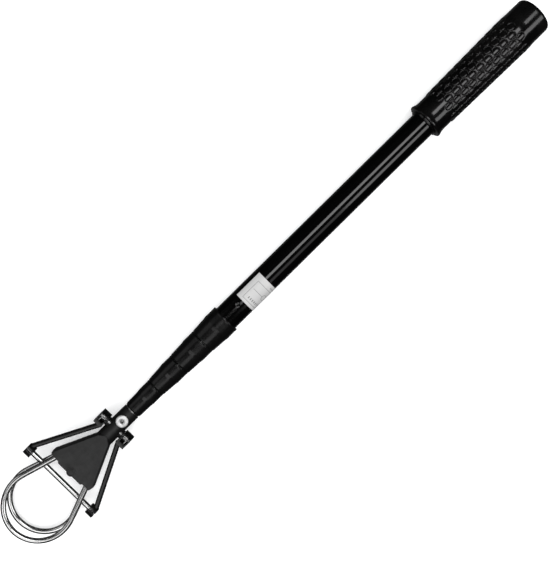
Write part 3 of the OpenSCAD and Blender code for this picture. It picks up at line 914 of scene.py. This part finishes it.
def make_arm(name, node, side):
    """An arm: the CAD block and foot with soft edges, and a rounded rod between them."""
    piece = softened(name, node, 0.5, 3, without=ROD_FACE)
    verts, faces = arm_rod(side)
    rod = finish_mesh(name + "_rod", verts, faces)
    rod.data.transform(gate_place())
    mesh = bmesh.new()
    mesh.from_mesh(piece.data)
    own = len(mesh.faces)
    mesh.from_mesh(rod.data)
    mesh.faces.ensure_lookup_table()
    bmesh.ops.recalc_face_normals(mesh, faces=mesh.faces[own:])
    mesh.to_mesh(piece.data)
    mesh.free()
    bpy.data.objects.remove(rod)
    piece.data.set_sharp_from_angle(angle=math.radians(35))
    return piece


def make_gate():
    """The two arms and the bar across their feet."""
    plastic = satin_plastic("arm_plastic", (0.0015, 0.004), (0.2, 0.3), depth=0.015, shine=0.4)
    for side, name in ((-1, "left"), (1, "right")):
        piece = make_arm(f"gate_arm_{name}", f"arm_{name}", side)
        fit(piece, "gate", f"arm_{name}", plastic)
    y = bar_high.y / MM
    ends = [(-y, 0.0, 0), (-y, bar_r, 0.45), (y, bar_r, 0.45), (y, 0.0, 0)]
    bar = lathe("bar", long_steps(rounded(ends), 3.0)[:-1], closed=False, segments=64)
    turn_to_y(bar, bar_x, bar_z)
    fit(bar, "gate", "gate_bar", steel_wire("bar_metal", tone=0.84, rough=0.14))


ARM_IN, ARM_WALL = 7.5, 1.0
SPRING_R, SPRING_WIRE, SPRING_TURNS = 2.55, 0.45, 3.25
SPRING_PITCH = 2 * SPRING_WIRE + 0.02
SPRING_Y = ARM_IN + ARM_WALL + SPRING_WIRE + 0.1
TURN_STEPS = 40
SPRING_LEG, SPRING_DROP, SPRING_BEND, SPRING_TAIL = 4.6, 1.4, 0.8, 3.0


def spring_path():
    """The torsion spring's path in the gate's frame: a leg, the turns, and a tail bent towards the neck."""
    top = SPRING_Y + SPRING_TURNS * SPRING_PITCH
    path = [[SPRING_LEG * s, top, SPRING_R] for s in (1, 0.66, 0.33)]
    out = [[0, 0, 1]] * 3
    for k in range(int(TURN_STEPS * SPRING_TURNS) + 1):
        a = math.pi / 2 + k * TAU / TURN_STEPS
        path.append([SPRING_R * math.cos(a), top - k / TURN_STEPS * SPRING_PITCH, SPRING_R * math.sin(a)])
        out.append([math.cos(a), 0, math.sin(a)])
    path.append([-SPRING_R, SPRING_Y, -SPRING_DROP])
    out.append([-1, 0, 0])
    for a in np.radians(np.arange(15, 91, 15)):
        inwards, down = SPRING_BEND * (1 - math.cos(a)), SPRING_BEND * math.sin(a)
        path.append([-SPRING_R, SPRING_Y - inwards, -SPRING_DROP - down])
        out.append([-1, 0, 0])
    path.append([-SPRING_R, SPRING_Y - SPRING_BEND - SPRING_TAIL, -SPRING_DROP - SPRING_BEND])
    out.append([-1, 0, 0])
    return np.array(path, float), np.array(out, float)


def make_springs():
    """The torsion springs in the arms' pockets, mirror images of each other."""
    metal = steel_wire("spring_metal", tone=0.7)
    path, out = spring_path()
    for side, name in ((1, "right"), (-1, "left")):
        flip = np.array([1, side, 1])
        piece = sweep(f"torsion_spring_{name}", path * flip, out * flip, SPRING_WIRE - 0.005, 12)
        piece.data.transform(gate_place())
        fit(piece, "gate", f"spring_{name}", metal)


# ---------------------------------------------------------------- studio

AIM = Vector((0.2644, 0.00936, 0))
LEAN, ROLL = math.radians(4.5), math.radians(44.595)
CAMERA_FAR = 0.70     # metres from the camera to the pole
PICTURE_HIGH = 577 * 0.7 * MM   # how much of the pole's plane the picture's height takes in
SENSOR = 36


def make_camera():
    """Looks almost straight down on the pole, which runs from corner to corner of the picture."""
    lean_turn = Matrix.Rotation(LEAN, 3, "X")
    right = lean_turn @ Vector((-math.cos(ROLL), math.sin(ROLL), 0))
    up = lean_turn @ Vector((-math.sin(ROLL), -math.cos(ROLL), 0))
    back = right.cross(up)
    data = bpy.data.cameras.new("camera")
    data.sensor_width = SENSOR
    data.lens = SENSOR * CAMERA_FAR / PICTURE_HIGH
    data.clip_start = 0.01
    camera = bpy.data.objects.new("camera", data)
    turn = Matrix((right, up, back)).transposed().to_4x4()
    camera.matrix_world = Matrix.Translation(AIM + back * CAMERA_FAR) @ turn
    bpy.context.scene.collection.objects.link(camera)
    bpy.context.scene.camera = camera


LIGHT_FAR = 1.3       # metres from the pole's axis to each soft box
# Each soft box: name, angle from straight up towards +Y, length, width, brightness, and place along the pole
SOFT_BOXES = (
    ("top", -4, 0.83, 0.42, 3.3, -0.085),
    ("side", 41, 0.9, 0.5, 2.4, -0.4),
    ("long", 41, 1.08, 0.5, 0.6, -0.21),
    ("fill", -55, 0.7, 0.8, 0.5, 0.75),
    ("head", 4, 0.7, 1.3, 1.7, 1.18),
    ("near", 22, 0.3, 0.7, 1.2, 0.62),
)


def soft_box(name, angle, length, width, radiance, x):
    """A soft box that lies along the pole and faces it."""
    data = bpy.data.lights.new(name, "AREA")
    data.shape = "RECTANGLE"
    data.size, data.size_y = length, width
    data.energy = radiance * math.pi * length * width
    light = bpy.data.objects.new(name, data)
    a = math.radians(angle)
    out = Vector((0, math.sin(a), math.cos(a)))
    along = Vector((1, 0, 0))
    turn = Matrix((along, out.cross(along), out)).transposed().to_4x4()
    light.matrix_world = Matrix.Translation(Vector((x, 0, 0)) + out * LIGHT_FAR) @ turn
    bpy.context.scene.collection.objects.link(light)


def make_floor():
    """The pale floor that the object lies on."""
    size = 4.0
    floor_z = cad_box[0].z - 0.0001
    mesh = bpy.data.meshes.new("floor")
    corners = [(-size, -size, floor_z), (size, -size, floor_z), (size, size, floor_z), (-size, size, floor_z)]
    mesh.from_pydata(corners, [], [(0, 1, 2, 3)])
    mesh.materials.append(floor_paper())
    floor = bpy.data.objects.new("floor", mesh)
    floor.visible_glossy = False
    floor.visible_diffuse = False
    bpy.context.scene.collection.objects.link(floor)


def make_world():
    """A pale room; what polished pieces mirror of it is dark above and grey below, like a studio's tent."""
    world = bpy.data.worlds.new("studio")
    world.use_nodes = True
    tree = world.node_tree
    tree.nodes.clear()
    out = tree.nodes.new("ShaderNodeOutputWorld")
    coords = tree.nodes.new("ShaderNodeTexCoord")
    axes = tree.nodes.new("ShaderNodeSeparateXYZ")
    tree.links.new(coords.outputs["Generated"], axes.inputs[0])

    def sky(heights, strengths):
        """A background whose strength changes between two heights on the sky."""
        level = tree.nodes.new("ShaderNodeMapRange")
        for key, number in zip(("From Min", "From Max", "To Min", "To Max"), (*heights, *strengths)):
            level.inputs[key].default_value = number
        tree.links.new(axes.outputs["Z"], level.inputs["Value"])
        made = tree.nodes.new("ShaderNodeBackground")
        made.inputs["Color"].default_value = (0.93, 0.935, 0.94, 1)
        tree.links.new(level.outputs["Result"], made.inputs["Strength"])
        return made

    room = sky((-0.1, 0.9), (0.3, 1.5))
    mirrored = sky((-0.85, -0.5), (0.14, 0.004))
    ray = tree.nodes.new("ShaderNodeLightPath")
    mix = tree.nodes.new("ShaderNodeMixShader")
    tree.links.new(ray.outputs["Is Glossy Ray"], mix.inputs["Fac"])
    tree.links.new(room.outputs[0], mix.inputs[1])
    tree.links.new(mirrored.outputs[0], mix.inputs[2])
    tree.links.new(mix.outputs[0], out.inputs["Surface"])
    bpy.context.scene.world = world


def make_studio():
    """The floor, the lights and the room, shown without a film curve."""
    make_floor()
    for name, *settings in SOFT_BOXES:
        soft_box("soft_box_" + name, *settings)
    make_world()
    bpy.context.scene.view_settings.view_transform = "Standard"


make_camera()
make_grip()
make_pole()
make_label()
make_collars()
make_inner_parts()
make_head()
make_loops()
make_gate()
make_springs()
make_studio()
